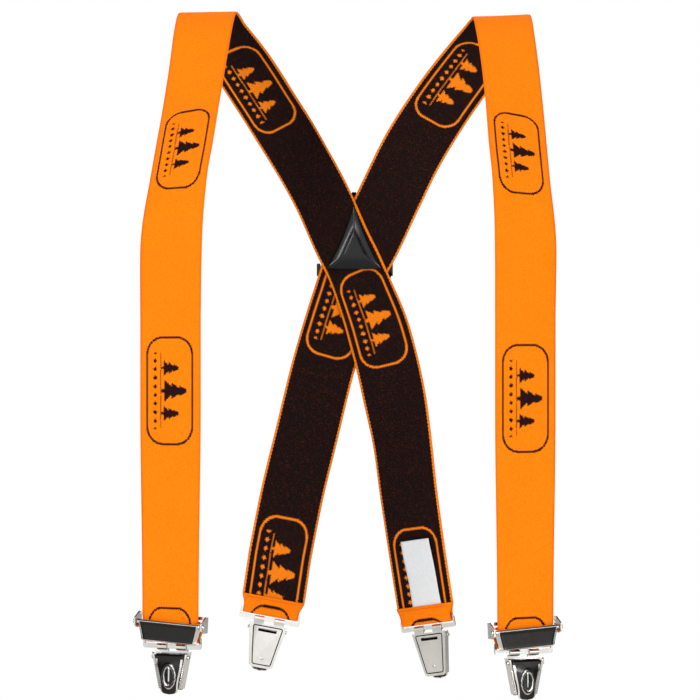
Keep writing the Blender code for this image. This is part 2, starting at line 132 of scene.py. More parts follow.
# The routes of part.py: the strap's centre and the direction across it, in millimetres.
LEFT_ROUTE = [
    (-128.0, -152, -230, 0.89, -0.45, 0.00),
    (-127.4, -150, -176, 0.91, -0.41, 0.03),
    (-123.4, -140, -136, 0.93, -0.34, 0.12),
    (-120.0, -119, -109, 0.95, -0.27, 0.15),
    (-116.2, -90, -77, 0.95, -0.27, 0.15),
    (-112.4, -62, -44, 0.96, -0.24, 0.12),
    (-109.6, -36, -16, 0.98, -0.18, 0.05),
    (-107.6, -12, -1, 0.98, -0.18, 0.00),
    (-105.4, 8, 0, 0.97, -0.22, 0.03),
    (-99.3, 28, -11.5, 0.92, -0.32, 0.22),
    (-84.6, 46, -32, 0.87, -0.36, 0.30),
    (-62.8, 65, -65, 0.87, -0.34, 0.36),
    (-41.4, 80, -99, 0.88, -0.10, 0.45),
    (-21.8, 87, -134, 0.89, 0.00, 0.46),
    (-5.6, 87, -170, 0.90, 0.00, 0.43),
    (5.1, 87, -192, 0.91, 0.00, 0.41),
    (14.8, 87, -216, 0.93, 0.00, 0.37),
    (23.7, 87, -241, 0.95, 0.00, 0.32),
    (33.1, 87, -277, 0.96, 0.00, 0.26),
    (42.0, 84, -324, 0.92, -0.35, 0.16),
    (47.9, 83, -371, 0.89, -0.43, 0.13),
    (54.8, 82, -419, 0.87, -0.46, 0.15),
]
RIGHT_ROUTE = [
    (128.0, -152, -230, 0.89, 0.45, 0.00),
    (128.2, -150, -176, 0.91, 0.41, -0.02),
    (125.9, -140, -136, 0.93, 0.34, -0.08),
    (124.4, -119, -109, 0.95, 0.28, -0.10),
    (123.2, -90, -77, 0.95, 0.27, -0.10),
    (121.2, -62, -44, 0.96, 0.24, -0.08),
    (118.9, -36, -18, 0.97, 0.22, -0.01),
    (117.4, -12, -3.5, 0.97, 0.20, 0.05),
    (115.6, 8, -3, 0.97, 0.22, 0.03),
    (109.8, 28, -13.5, 0.90, 0.30, -0.22),
    (97.2, 46, -32, 0.86, 0.28, -0.38),
    (72.8, 65, -65, 0.85, 0.24, -0.46),
    (51.2, 82, -99, 0.86, 0.08, -0.48),
    (33.9, 89, -134, 0.88, 0.00, -0.46),
    (16.9, 88.9, -170, 0.90, 0.00, -0.43),
    (5.1, 88.9, -192, 0.92, 0.00, -0.39),
    (-3.2, 88.9, -216, 0.94, 0.00, -0.33),
    (-11.2, 88.9, -241, 0.95, 0.00, -0.29),
    (-21.5, 88.9, -277, 0.96, 0.00, -0.27),
    (-32.9, 86, -324, 0.97, 0.06, -0.24),
    (-44.3, 84, -371, 0.97, 0.08, -0.22),
    (-53.8, 82, -419, 0.97, 0.09, -0.20),
]

# The point of each route at the top of the shoulder.
SHOULDER_POINT = 7

# Each ring's bar: its centre (in front, the point of the strap before it), its turn and lean in degrees, and
# the length of the clip that hangs in it.
BARS = {
    "front_left": dict(at=(-0.128, FRONT_Y, -0.4647), yaw=-FRONT_YAW, lean=0, clip=0.031),
    "front_right": dict(at=(0.128, FRONT_Y, -0.4687), yaw=FRONT_YAW, lean=0, clip=0.031),
    "rear_left": dict(at=(-0.061, 0.080, -0.464), yaw=180 + 5, lean=11, clip=0.038),
    "rear_right": dict(at=(0.0625, 0.080, -0.470), yaw=180 - 28, lean=-10, clip=0.038),
}
ADJUSTER_TILT = {"left": 3, "right": -3}

# Each strap: pinch is its narrowing on each side near the cross plate, the depths are where it passes before
# the bars and behind the centre, and the badges are the heights of their middles on the front and the back.
# The first badge would lie below the ring, and only its top shows.
STRAPS = {
    "left": dict(
        route=LEFT_ROUTE,
        rear="rear_right",
        pinch=0.0026,
        front_depth=-0.00295,
        back_depth=0.00140,
        front_badges=(-0.482, -0.286, -0.109),
        back_badges=(-0.052, -0.232, -0.4389),
        rear_stretch=1.07,
    ),
    "right": dict(
        route=RIGHT_ROUTE,
        rear="rear_left",
        pinch=0.0,
        front_depth=-0.00140,
        back_depth=0.00295,
        front_badges=(-0.489, -0.2915, -0.112),
        back_badges=(-0.048, -0.225, -0.4336),
        rear_stretch=1.15,
    ),
}


# ---- node maths


class Term:
    """A number in a shader tree, with the usual operators."""

    def __init__(self, tree, socket):
        self.tree = tree
        self.socket = socket

    def _math(self, operation, *others):
        node = self.tree.nodes.new("ShaderNodeMath")
        node.operation = operation
        for i, value in enumerate((self, *others)):
            if isinstance(value, Term):
                self.tree.links.new(value.socket, node.inputs[i])
            else:
                node.inputs[i].default_value = value
        return Term(self.tree, node.outputs[0])

    def __add__(self, other):
        return self._math("ADD", other)

    def __sub__(self, other):
        return self._math("SUBTRACT", other)

    def __mul__(self, other):
        return self._math("MULTIPLY", other)

    def __truediv__(self, other):
        return self._math("DIVIDE", other)

    def floor(self):
        return self._math("FLOOR")

    def fraction(self):
        return self._math("FRACT")

    def absolute(self):
        return self._math("ABSOLUTE")

    def root(self):
        return self._math("SQRT")

    def sine(self):
        return self._math("SINE")

    def at_least(self, other):
        return self._math("MAXIMUM", other)

    def at_most(self, other):
        return self._math("MINIMUM", other)

    def above(self, other):
        return self._math("GREATER_THAN", other)

    def below(self, other):
        return self._math("LESS_THAN", other)


def new_material(name, roughness, metallic=0.0):
    made = bpy.data.materials.new(name)
    made.use_nodes = True
    shader = made.node_tree.nodes["Principled BSDF"]
    shader.inputs["Roughness"].default_value = roughness
    shader.inputs["Metallic"].default_value = metallic
    return made, made.node_tree, shader


def noise(tree, scale, detail):
    node = tree.nodes.new("ShaderNodeTexNoise")
    node.inputs["Scale"].default_value = scale
    node.inputs["Detail"].default_value = detail
    coordinates = tree.nodes.new("ShaderNodeTexCoord")
    tree.links.new(coordinates.outputs["Object"], node.inputs["Vector"])
    return Term(tree, node.outputs["Fac"])


def blend_colours(tree, factor, low, high):
    """A mix of two colours, or of a colour socket and a colour."""
    node = tree.nodes.new("ShaderNodeMix")
    node.data_type = "RGBA"
    tree.links.new(factor.socket, node.inputs[0])
    for value, socket in ((low, node.inputs[6]), (high, node.inputs[7])):
        if isinstance(value, tuple):
            socket.default_value = (*value, 1)
        else:
            tree.links.new(value, socket)
    return node.outputs[2]


def set_bump(tree, shader, height, strength, distance):
    bump = tree.nodes.new("ShaderNodeBump")
    bump.inputs["Strength"].default_value = strength
    bump.inputs["Distance"].default_value = distance
    tree.links.new(height.socket, bump.inputs["Height"])
    tree.links.new(bump.outputs["Normal"], shader.inputs["Normal"])


# ---- woven badge

ORANGE = (0.97, 0.232, 0.0035)
WARM_ORANGE = (0.95, 0.178, 0.0015)
DEEP_ORANGE = (0.95, 0.125, 0.0015)
MAROON = (0.026, 0.0055, 0.0055)
BLACK_MAROON = (0.008, 0.0028, 0.003)
YARN_SPECULAR = 0.06

# The badge, in millimetres.
WEAVE_CELL = (0.55, 0.5)
WEAVE_STEP = 1.6
FRAME_HALF_LENGTH = 38.4
FRAME_HALF_WIDTH = 18.7
FRAME_CORNER = 12.5
FRAME_HALF_LINE = 0.88
GROUND_ACROSS = -7.6
GROUND_HALF_LINE = 0.5
GROUND_HALF_LENGTH = 27
DASH_PITCH = 1.7
LOZENGE_ACROSS = -12.0
LOZENGE_PITCH = 6.2
LOZENGE_REACH = 1.9
LOZENGES_HALF_LENGTH = 27.9
TREE_TIERS = 3
SIDE_TREE_ALONG = 16.4
SELVAGE_EDGE = 23.35
RIB_PITCH = 0.85
PICK_PITCH = 0.62


def strap_coordinates(tree):
    """(across, along) in millimetres, from the strap's UV map."""
    source = tree.nodes.new("ShaderNodeUVMap")
    source.uv_map = "strap"
    split = tree.nodes.new("ShaderNodeSeparateXYZ")
    tree.links.new(source.outputs["UV"], split.inputs[0])
    return Term(tree, split.outputs["X"]) * 1000, Term(tree, split.outputs["Y"]) * 1000


def woven(value, cell):
    """The value at the middle of its weave cell, which gives the pattern its stepped edges."""
    return ((value / cell).floor() + 0.5) * cell


def conifer(along, up, foot, height, width):
    """1 inside a tiered tree that stands on foot."""
    share = (up - foot) / height
    tier = (share * TREE_TIERS).floor()
    taper = (share * TREE_TIERS).fraction() * -0.62 + 1
    half = ((tier * -0.27) + 1) * taper * width
    crown = along.absolute().below(half) * share.above(0.0) * share.below(1.0)
    trunk = along.absolute().below(width * 0.16) * share.above(-0.14) * share.below(0.05)
    return crown.at_least(trunk)


def rounded_frame(along, across):
    """1 on the line of a rectangle with round corners."""
    dx = along.absolute() - (FRAME_HALF_LENGTH - FRAME_CORNER)
    dy = across.absolute() - (FRAME_HALF_WIDTH - FRAME_CORNER)
    outside = (dx.at_least(0) * dx.at_least(0) + dy.at_least(0) * dy.at_least(0)).root()
    distance = outside + dx.at_least(dy).at_most(0) - FRAME_CORNER
    return distance.absolute().below(FRAME_HALF_LINE)


def dashed_line(along, across):
    """1 on the dashes that the trees stand on."""
    dashes = (along / DASH_PITCH).fraction().above(0.35) * along.absolute().below(GROUND_HALF_LENGTH)
    return (across - GROUND_ACROSS).absolute().below(GROUND_HALF_LINE) * dashes


def lozenge_row(along, across):
    """1 inside the lozenges under the ground line."""
    from_middle = ((along / LOZENGE_PITCH).fraction() - 0.5).absolute() * LOZENGE_PITCH
    reach = from_middle + (across - LOZENGE_ACROSS).absolute()
    return reach.below(LOZENGE_REACH) * along.absolute().below(LOZENGES_HALF_LENGTH)


def badge(across, along):
    """1 on the pattern: a rounded frame, three conifers on a dashed ground line and a row of lozenges."""
    repeat = BADGE_REPEAT * 1000
    cell_along, cell_across = WEAVE_CELL
    pick = (along / WEAVE_STEP).fraction().above(0.5) * cell_along
    rib = (across / WEAVE_STEP).fraction().above(0.5) * cell_along
    along = woven(along + rib, cell_along)
    across = woven(across + pick, cell_across)
    along = ((along / repeat + 0.5).fraction() - 0.5) * repeat
    mask = rounded_frame(along, across).at_least(dashed_line(along, across))
    mask = mask.at_least(lozenge_row(along, across))
    mask = mask.at_least(conifer(along, across, foot=-4.6, height=18.6, width=8.2))
    beside = along.absolute() - SIDE_TREE_ALONG
    return mask.at_least(conifer(beside, across, foot=-5.2, height=12.6, width=6.0))


def weave_height(across, along):
    """Fine ribs along the strap crossed by the picks of the weft."""
    ribs = (across * (2 * pi / RIB_PITCH)).sine()
    picks = (along * (2 * pi / PICK_PITCH) + (across / RIB_PITCH).floor() * pi).sine()
    return ribs * 0.5 + picks * 0.5


def inner_colour(tree, across, along, grain):
    """Dark maroon with orange specks, pattern and selvages."""
    stitch = (woven(along, 0.8) * 2.3).sine() * 0.28
    selvage = (across.absolute() + stitch).above(SELVAGE_EDGE)
    specks = noise(tree, 2100, 1).above(0.68)
    ground = blend_colours(tree, grain, (0.0035, 0.0016, 0.0016), (0.014, 0.0072, 0.0068))
    ground = blend_colours(tree, specks * 0.55, ground, (0.30, 0.045, 0.006))
    figure = blend_colours(tree, grain, (0.78, 0.15, 0.004), (1.0, 0.28, 0.010))
    return blend_colours(tree, badge(across, along).at_least(selvage), ground, figure)


def outer_colour(tree, across, along, grain):
    """Mottled orange, deeper at the selvages, with a maroon pattern."""
    mottle = noise(tree, 38, 3) * 0.5 + weave_height(across, along) * 0.15 + (grain - 0.5) * 3.2 + 0.25
    ground = blend_colours(tree, mottle.at_least(0).at_most(1), WARM_ORANGE, ORANGE)
    edge = ((across.absolute() - 22.6) * 0.45).at_least(0).at_most(1)
    ground = blend_colours(tree, edge * 0.55, ground, DEEP_ORANGE)
    figure = blend_colours(tree, grain, BLACK_MAROON, MAROON)
    return blend_colours(tree, badge(across, along), ground, figure)


def webbing_material(name, side_colour):
    """One side of the elastic jacquard."""
    made, tree, shader = new_material(name, 0.82)
    across, along = strap_coordinates(tree)
    grain = noise(tree, 900, 2)
    tree.links.new(side_colour(tree, across, along, grain), shader.inputs["Base Color"])
    shader.inputs["Specular IOR Level"].default_value = YARN_SPECULAR
    set_bump(tree, shader, weave_height(across, along) + grain * 0.8, 0.55, 0.00022)
    return made


def selvage_material():
    """The thin woven edge between the strap's two sides."""
    made, tree, shader = new_material("strap_edge", 0.8)
    grain = noise(tree, 1400, 2)
    colour = blend_colours(tree, grain, WARM_ORANGE, ORANGE)
    tree.links.new(colour, shader.inputs["Base Color"])
    shader.inputs["Specular IOR Level"].default_value = YARN_SPECULAR
    set_bump(tree, shader, grain, 0.5, 0.0003)
    return made


# ---- other materials

BRIGHT_NICKEL = (0.78, 0.765, 0.735)
BLACK_NICKEL = (0.024, 0.023, 0.022)


def nickel_material(name, tint, roughness):
    """Nickel plate: faint stains, fine scratches, and edges worn paler and duller."""
    made, tree, shader = new_material(name, roughness, 1.0)
    stains = noise(tree, 160, 4)
    scratches = noise(tree, 2600, 2)
    geometry = tree.nodes.new("ShaderNodeNewGeometry")
    edges = ((Term(tree, geometry.outputs["Pointiness"]) - 0.5) * 9).at_least(0).at_most(1)
    dark = tuple(c * 0.78 for c in tint)
    worn = tuple(c * 1.15 for c in tint)
    colour = blend_colours(tree, stains, dark, tint)
    colour = blend_colours(tree, edges * 0.5, colour, worn)
    tree.links.new(colour, shader.inputs["Base Color"])
    rough = stains * 0.16 + scratches * 0.08 + edges * 0.10 + (roughness - 0.10)
    tree.links.new(rough.socket, shader.inputs["Roughness"])
    set_bump(tree, shader, scratches + stains * 2, 0.10, 0.00012)
    return made


def dark_nickel_material():
    """Black nickel on the pressed panels, under a clear lacquer."""
    made = nickel_material("black_nickel", BLACK_NICKEL, 0.24)
    shader = made.node_tree.nodes["Principled BSDF"]
    shader.inputs["Coat Weight"].default_value = 0.30
    shader.inputs["Coat Roughness"].default_value = 0.12
    return made


def gloss_plastic_material():
    """Injection-moulded black plastic with faint flow marks and dust."""
    made, tree, shader = new_material("gloss_plastic", 0.12)
    shader.inputs["Specular IOR Level"].default_value = 0.28
    flow = noise(tree, 55, 4)
    dust = noise(tree, 1500, 1).above(0.72)
    colour = blend_colours(tree, flow, (0.002, 0.0022, 0.003), (0.006, 0.0065, 0.008))
    colour = blend_colours(tree, dust * 0.25, colour, (0.10, 0.10, 0.11))
    tree.links.new(colour, shader.inputs["Base Color"])
    rough = flow * 0.18 + dust * 0.2 + 0.06
    tree.links.new(rough.socket, shader.inputs["Roughness"])
    set_bump(tree, shader, flow, 0.2, 0.0004)
    return made


def pad_material():
    made, tree, shader = new_material("grip_pad", 0.6)
    grain = noise(tree, 700, 3)
    colour = blend_colours(tree, grain, (0.006, 0.006, 0.006), (0.025, 0.025, 0.025))
    tree.links.new(colour, shader.inputs["Base Color"])
    set_bump(tree, shader, grain, 0.4, 0.0003)
    return made


def satin_material():
    """A satin care label: fine weft lines and a soft sheen, with no print."""
    made, tree, shader = new_material("satin_label", 0.45)
    _, along = strap_coordinates(tree)
    grain = noise(tree, 500, 3)
    lines = (along * (2 * pi / 0.5)).sine()
    shade = grain * 0.7 + lines * 0.12 + 0.1
    colour = blend_colours(tree, shade, (0.60, 0.62, 0.63), (0.80, 0.81, 0.82))
    tree.links.new(colour, shader.inputs["Base Color"])
    shader.inputs["Sheen Weight"].default_value = 0.3
    set_bump(tree, shader, lines + grain, 0.3, 0.0001)
    return made


def thread_material():
    made, tree, shader = new_material("stitch_thread", 0.7)
    grain = noise(tree, 3000, 2)
    colour = blend_colours(tree, grain, (0.62, 0.065, 0.002), (0.90, 0.135, 0.004))
    tree.links.new(colour, shader.inputs["Base Color"])
    set_bump(tree, shader, grain, 0.5, 0.0002)
    return made


def make_materials():
    return {
        "outer": webbing_material("strap_outer", outer_colour),
        "inner": webbing_material("strap_inner", inner_colour),
        "edge": selvage_material(),
        "nickel": nickel_material("bright_nickel", BRIGHT_NICKEL, 0.16),
        "panel": dark_nickel_material(),
        "plastic": gloss_plastic_material(),
        "pad": pad_material(),
        "label": satin_material(),
        "thread": thread_material(),
    }


# ---- meshes


def linked(name, data):
    made = bpy.data.objects.new(name, data)
    bpy.context.collection.objects.link(made)
    return made


def object_from(name, mesh_data, look, place=None):
    """A smooth object of one material, moved to its place."""
    mesh = bpy.data.meshes.new(name)
    bmesh.ops.recalc_face_normals(mesh_data, faces=mesh_data.faces)
    mesh_data.to_mesh(mesh)
    mesh_data.free()
    mesh.shade_smooth()
    mesh.materials.append(look)
    made = linked(name, mesh)
    if place:
        mesh.transform(place)
    return made


def bridge(mesh_data, low, high):
    """Faces between two closed loops of vertices."""
    for i in range(len(low)):
        j = (i + 1) % len(low)
        mesh_data.faces.new((low[i], low[j], high[j], high[i]))


def roll_edges(made, name, width, limit):
    """Rounds the edges that bend by more than limit degrees."""
    made.data.set_sharp_from_angle(angle=radians(40))
    roll = made.modifiers.new(name, "BEVEL")
    roll.width = width
    roll.segments = 3
    roll.limit_method = "ANGLE"
    roll.angle_limit = radians(limit)
    roll.harden_normals = True


def finish_piece(made, body, slot, *nodes):
    """Hides the CAD nodes that a piece stands for and hangs it on the body it rides on. Its slot, what it is
    made of, is not used.
    """
    if nodes:
        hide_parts(*nodes)
    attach(made, body)


# ---- frames and routes


def bar_frame(end):
    """The frame of a ring's bar: x along the bar, -y out of the strap's outer side, z up."""
    spot = BARS[end]
    lean = Matrix.Rotation(radians(spot["lean"]), 4, "Y")
    yaw = Matrix.Rotation(radians(spot["yaw"]), 4, "Z")
    place = Matrix.Translation(spot["at"]) @ lean @ yaw
    if end.startswith("front"):
        place @= Matrix.Translation((0, LOOP_RADIUS, 0))
    return place


def rail_frame(end):
    """The frame of the rail that the clip hangs on."""
    return bar_frame(end) @ Matrix.Translation((0, 0, RAIL_Z))


def lever_frame(end):
    """The frame of the pin that the lever turns on."""
    return bar_frame(end) @ Matrix.Translation((0, PIN_Y, RAIL_Z + PIN_Z))


def adjuster_frame(side):
    """The frame of an adjuster, which sits a little askew on its strap."""
    return bar_frame(f"front_{side}") @ Matrix.Rotation(radians(ADJUSTER_TILT[side]), 4, "Y")


def through_points(points, samples):
    """A Catmull-Rom curve through rows of numbers."""
    rows = np.array(points, float)
    padded = np.vstack([rows[:1], rows, rows[-1:]])
    t = np.arange(samples)[:, None] / samples
    parts = []
    for a, b, c, d in zip(padded, padded[1:], padded[2:], padded[3:]):
        part = 2 * b + (c - a) * t + (2 * a - 5 * b + 4 * c - d) * t**2 + (3 * b - a - 3 * c + d) * t**3
        parts.append(part / 2)
    return np.vstack([*parts, rows[-1:]])


def ease(value, low, high):
    """0 below low, 1 above high, smooth between."""
    t = np.clip((value - low) / (high - low), 0, 1)
    return t * t * (3 - 2 * t)


def local_rows(end, rows):
    """(centre, across, half width) arrays from (outward, up, half width) rows in a bar's frame."""
    place = bar_frame(end)
    across = (place.to_3x3() @ Vector((1, 0, 0))).normalized()
    centres = np.array([place @ Vector((0, -out, up)) for out, up, _ in rows])
    return centres, np.tile(np.array(across), (len(rows), 1)), np.array([row[2] for row in rows])


def half_turn(centre, radius, first, last):
    """Rows of a gathered strap round a bar at centre (outward, up), from one angle to another."""
    rows = []
    for angle in np.radians(np.linspace(first, last, HALF_TURN_ROWS)):
        rows.append((centre[0] + radius * cos(angle), centre[1] + radius * sin(angle), LOOP_WIDTH / 2))
    return rows


def front_rows(end):
    """Round the ring's bar and up to the top of the straight run, where the strap has its full width."""
    rows = half_turn((0, 0), LOOP_RADIUS, -180, 0)
    top = STRAIGHT_TOP - BARS[end]["at"][2]
    for up in np.linspace(0.001, top - 0.002, STRAIGHT_ROWS):
        spread = 0.0012 * ease(up, 0.002, 0.018) + 0.0018 * ease(up, 0.018, 0.17)
        rows.append((LOOP_RADIUS, up, LOOP_WIDTH / 2 + spread))
    return rows


def rear_rows():
    """Down the outer layer, round the ring's bar, and up to the stitched end on the inner side."""
    narrow, full = LOOP_WIDTH / 2, STRAP_WIDTH / 2
    outer = []
    for up in np.linspace(FOLD_HEIGHT + 0.0015, 0.0008, 12):
        out = FOLD_OFFSET + (LOOP_RADIUS - FOLD_OFFSET) * (1 - ease(up, 0, 0.010))
        outer.append((out, up, narrow + (full - narrow) * ease(up, 0.002, FOLD_HEIGHT)))
    turn = half_turn((0, 0), LOOP_RADIUS, 0, -180)
    inner = [(-out, up, half) for out, up, half in reversed(outer) if up < FOLD_HEIGHT]
    return outer + turn + inner


def tail_rows():
    """From the ring's bar up to the adjuster's crossbar, over it and down to the sewn flap."""
    narrow = LOOP_WIDTH / 2
    out, height = CROSSBAR
    rows = []
    for up in np.linspace(0, height - 0.0003, 12):
        bulge = TAIL_BULGE * sin(pi * up / height) ** 2
        rows.append((-LOOP_RADIUS - bulge, up, narrow + bulge / 3))
    rows += half_turn(CROSSBAR, CROSSBAR_RADIUS, 180, 0)
    rows += [(out + CROSSBAR_RADIUS, up, narrow) for up in np.linspace(height - 0.0004, 0.004, 5)]
    return rows


# ---- straps


def weave_through_plate(points, side):
    """Moves strap points in depth, so that they pass over the plate's bars and behind its centre."""
    strap = STRAPS[side]
    x = points[:, 0] - CROSS_X
    z = points[:, 2]
    normal_x, normal_z = CENTRE_SIDE_NORMAL
    lean = (z - CENTRE_FOOT_Z) * normal_z
    left, right = (CENTRE_HALF_FOOT + x) * normal_x - lean, (CENTRE_HALF_FOOT - x) * normal_x - lean
    inside = [left, right, z - FOOT_BAR_Z]
    behind = np.prod([ease(distance, -CROSSING, CROSSING) for distance in inside], axis=0)
    depth = strap["front_depth"] + (strap["back_depth"] - strap["front_depth"]) * behind
    apart = np.maximum(-np.min(inside, axis=0), 0)
    near = (1 - ease(apart, *PLATE_REACH)) * (points[:, 1] > BACK_Y)
    points[:, 1] += (CROSS_Y + depth - points[:, 1]) * near
    return points


def ribbon_grid(centres, across, halves):
    """Points of the strap's middle surface, one row per station."""
    ahead = np.vstack([centres[1:], centres[-1:]]) - np.vstack([centres[:1], centres[:-1]])
    tangent = ahead / np.linalg.norm(ahead, axis=1)[:, None]
    level = across - tangent * (across * tangent).sum(1)[:, None]
    level /= np.linalg.norm(level, axis=1)[:, None]
    share = np.linspace(-1, 1, STRAP_COLUMNS + 1)
    return centres[:, None, :] + level[:, None, :] * (halves[:, None] * share[None, :])[:, :, None]


def distances(points):
    """How far along its line of points each one is."""
    return np.concatenate([[0], np.cumsum(np.linalg.norm(np.diff(points, axis=0), axis=1))])


def grid_normals(grid):
    along = np.gradient(grid, axis=0)
    over = np.gradient(grid, axis=1)
    normal = np.cross(over, along)
    return normal / np.linalg.norm(normal, axis=2)[:, :, None]


def strap_mesh(name, grid, arc, thickness, materials):
    """A closed ribbon with an outer, an inner and an edge material, and a UV map in metres."""
    rows, columns = grid.shape[:2]
    normal = grid_normals(grid)
    share = np.linspace(-1, 1, columns)
    thin = np.where(np.abs(share) > 0.999, 0.55, 1.0)[None, :, None]
    outer = grid + normal * thickness / 2 * thin
    inner = grid - normal * thickness / 2 * thin
    mesh_data = bmesh.new()
    uv = mesh_data.loops.layers.uv.new("strap")
    sheets = [[[mesh_data.verts.new(p) for p in row] for row in sheet] for sheet in (outer, inner)]
    where = {}
    for sheet in sheets:
        for i in range(rows):
            for j in range(columns):
                where[sheet[i][j]] = (share[j] * STRAP_WIDTH / 2, arc[i])

    def face(corners, slot):
        made = mesh_data.faces.new(corners)
        made.material_index = slot
        made.smooth = True
        for loop in made.loops:
            loop[uv].uv = where[loop.vert]

    out, inn = sheets
    for i in range(rows - 1):
        for j in range(columns - 1):
            face((out[i][j], out[i][j + 1], out[i + 1][j + 1], out[i + 1][j]), 0)
            face((inn[i + 1][j], inn[i + 1][j + 1], inn[i][j + 1], inn[i][j]), 1)
        face((out[i][0], out[i + 1][0], inn[i + 1][0], inn[i][0]), 2)
        face((inn[i][-1], inn[i + 1][-1], out[i + 1][-1], out[i][-1]), 2)
    for j in range(columns - 1):
        face((inn[0][j], inn[0][j + 1], out[0][j + 1], out[0][j]), 2)
        face((out[-1][j], out[-1][j + 1], inn[-1][j + 1], inn[-1][j]), 2)
    mesh = bpy.data.meshes.new(name)
    mesh_data.to_mesh(mesh)
    mesh_data.free()
    for key in ("outer", "inner", "edge"):
        mesh.materials.append(materials[key])
    return linked(name, mesh)


def badge_arc(centres, arc, heights, first, last):
    """How far along the strap its centre first passes each height, between two stations."""
    z = centres[first:last, 2]
    found = []
    for height in heights:
        passed = z >= height if z[0] < height else z <= height
        k = first + int(np.argmax(passed))
        share = (height - centres[k - 1, 2]) / (centres[k, 2] - centres[k - 1, 2])
        found.append(arc[k - 1] + (arc[k] - arc[k - 1]) * share)
    return found


def pattern_lengths(arc, badges, rear_stretch):
    """The pattern's length at each station. Only the last badge, which the rear clip pulls, is off scale."""
    known, pattern = [], []
    for i, middle in enumerate(badges):
        stretch = rear_stretch if i == len(badges) - 1 else 1
        for offset in (-BADGE_HALF_LENGTH, BADGE_HALF_LENGTH):
            known.append(middle + offset * stretch)
            pattern.append(i * BADGE_REPEAT + offset)
    before = known[0] - arc[0]
    after = arc[-1] - known[-1]
    known = [arc[0] - 0.001, *known, arc[-1] + 0.001]
    pattern = [pattern[0] - before - 0.001, *pattern, pattern[-1] + after + 0.001]
    order = np.argsort(known)
    return np.interp(arc, np.array(known)[order], np.array(pattern)[order])


def strap_route(side):
    """(centres, across, half widths) from the front ring over the shoulder to the rear ring."""
    strap = STRAPS[side]
    near = f"front_{side}"
    front_centres, front_across, front_halves = local_rows(near, front_rows(near))
    rear_centres, rear_across, rear_halves = local_rows(strap["rear"], rear_rows())
    curve = through_points(strap["route"], SAMPLES_PER_STEP)
    centres = np.vstack([front_centres, curve[:, :3] * MM, rear_centres])
    across = np.vstack([front_across, curve[:, 3:], -rear_across])
    halves = np.concatenate([front_halves, np.full(len(curve), STRAP_WIDTH / 2), rear_halves])
    depth, height = centres[:, 1], centres[:, 2]
    at_plate = ease(height, -0.25, -0.19) * (1 - ease(height, -0.12, -0.03)) * (depth > BACK_Y)
    at_shoulder = ease(height, -0.19, -0.12) * (1 - ease(depth, 0.02, 0.06))
    return centres, across, halves - strap["pinch"] * at_plate - SHOULDER_PINCH * at_shoulder


def strap_pattern(side, centres, arc):
    """The pattern's length at each station, with the badges at the heights that STRAPS names."""
    strap = STRAPS[side]
    bar_z = BARS[f"front_{side}"]["at"][2]
    shoulder = HALF_TURN_ROWS + STRAIGHT_ROWS + SHOULDER_POINT * SAMPLES_PER_STEP
    under_bar, *on_front = strap["front_badges"]
    lowest = arc[HALF_TURN_ROWS] - (bar_z - under_bar)
    front = badge_arc(centres, arc, on_front, 0, shoulder)
    back = badge_arc(centres, arc, strap["back_badges"], shoulder, len(centres))
    return pattern_lengths(arc, [lowest, *front, *back], strap["rear_stretch"])


def make_strap(side, materials):
    """A whole strap, from the front ring over the shoulder and through the cross plate to the rear ring."""
    centres, across, halves = strap_route(side)
    arc = distances(centres)
    pattern = strap_pattern(side, centres, arc)
    grid = ribbon_grid(centres, across, halves)
    grid = weave_through_plate(grid.reshape(-1, 3), side).reshape(grid.shape)
    made = strap_mesh(f"{side}_strap", grid, pattern, STRAP_THICKNESS, materials)
    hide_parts(f"{side}_strap_front", f"{side}_strap_back", f"{side}_strap_lower")
    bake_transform(made)
    make_tail(side, pattern[0], materials)


def make_tail(side, pattern_start, materials):
    """The strap's end, from the ring up to the adjuster, with the pattern carried on."""
    near = f"front_{side}"
    centres, across, halves = local_rows(near, tail_rows())
    arc = distances(centres)
    grid = ribbon_grid(centres[::-1], across, halves)
    tail = strap_mesh(f"{side}_tail", grid, pattern_start - arc[::-1], STRAP_THICKNESS, materials)
    place = bar_frame(near)
    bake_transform(tail)


# ---- hardware


def refined(node, name, look, width, body, slot):
    """A CAD piece with its edges rolled over, as stamping and plating leave them."""
    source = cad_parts[node]
    mesh_data = bmesh.new()
    mesh_data.from_mesh(source.data)
    bmesh.ops.remove_doubles(mesh_data, verts=mesh_data.verts, dist=1e-6)
    bmesh.ops.dissolve_limit(mesh_data, angle_limit=radians(1), verts=mesh_data.verts, edges=mesh_data.edges)
    made = object_from(name, mesh_data, look)
    roll_edges(made, "rolled_edges", width, 32)
    finish_piece(made, body, slot, node)


def surface_object(name, points, painted_highlight, thickness, materials, place):
    """A black-nickel skin over a grid of points, with faces of bright nickel as painted highlights where the
    given test of (row, column) says so.
    """
    mesh_data = bmesh.new()
    rows = [[mesh_data.verts.new(Vector(p)) for p in row] for row in points]
    for i in range(len(rows) - 1):
        for j in range(len(rows[i]) - 1):
            corners = (rows[i][j], rows[i][j + 1], rows[i + 1][j + 1], rows[i + 1][j])
            # Faces that the test picks get bright nickel: painted highlights on the black nickel.
            mesh_data.faces.new(corners).material_index = int(painted_highlight(i, j))
    made = object_from(name, mesh_data, materials["panel"], place)
    made.data.materials.append(materials["nickel"])
    shell = made.modifiers.new("sheet_metal", "SOLIDIFY")
    shell.thickness = thickness
    shell.offset = -1
    shell.use_even_offset = True
    rim = made.modifiers.new("rim", "BEVEL")
    rim.width = thickness * 0.3
    rim.segments = 2
    rim.limit_method = "ANGLE"
    rim.angle_limit = radians(50)
    return made


def emboss(x, z):
    """The height of a lever's pressed emblem, from 0 to 1: an oval ridge with a rib down its middle."""
    ring = abs(np.hypot(x / EMBOSS_SIZE[0], z / EMBOSS_SIZE[1]) - 1) * EMBOSS_SIZE[0]
    ridge = 1 - ease(ring, 0.0002, 0.0012)
    rib = (1 - ease(abs(x), 0.0002, 0.0010)) * (1 - ease(abs(z), 0.0056, 0.0066))
    return max(ridge, rib)


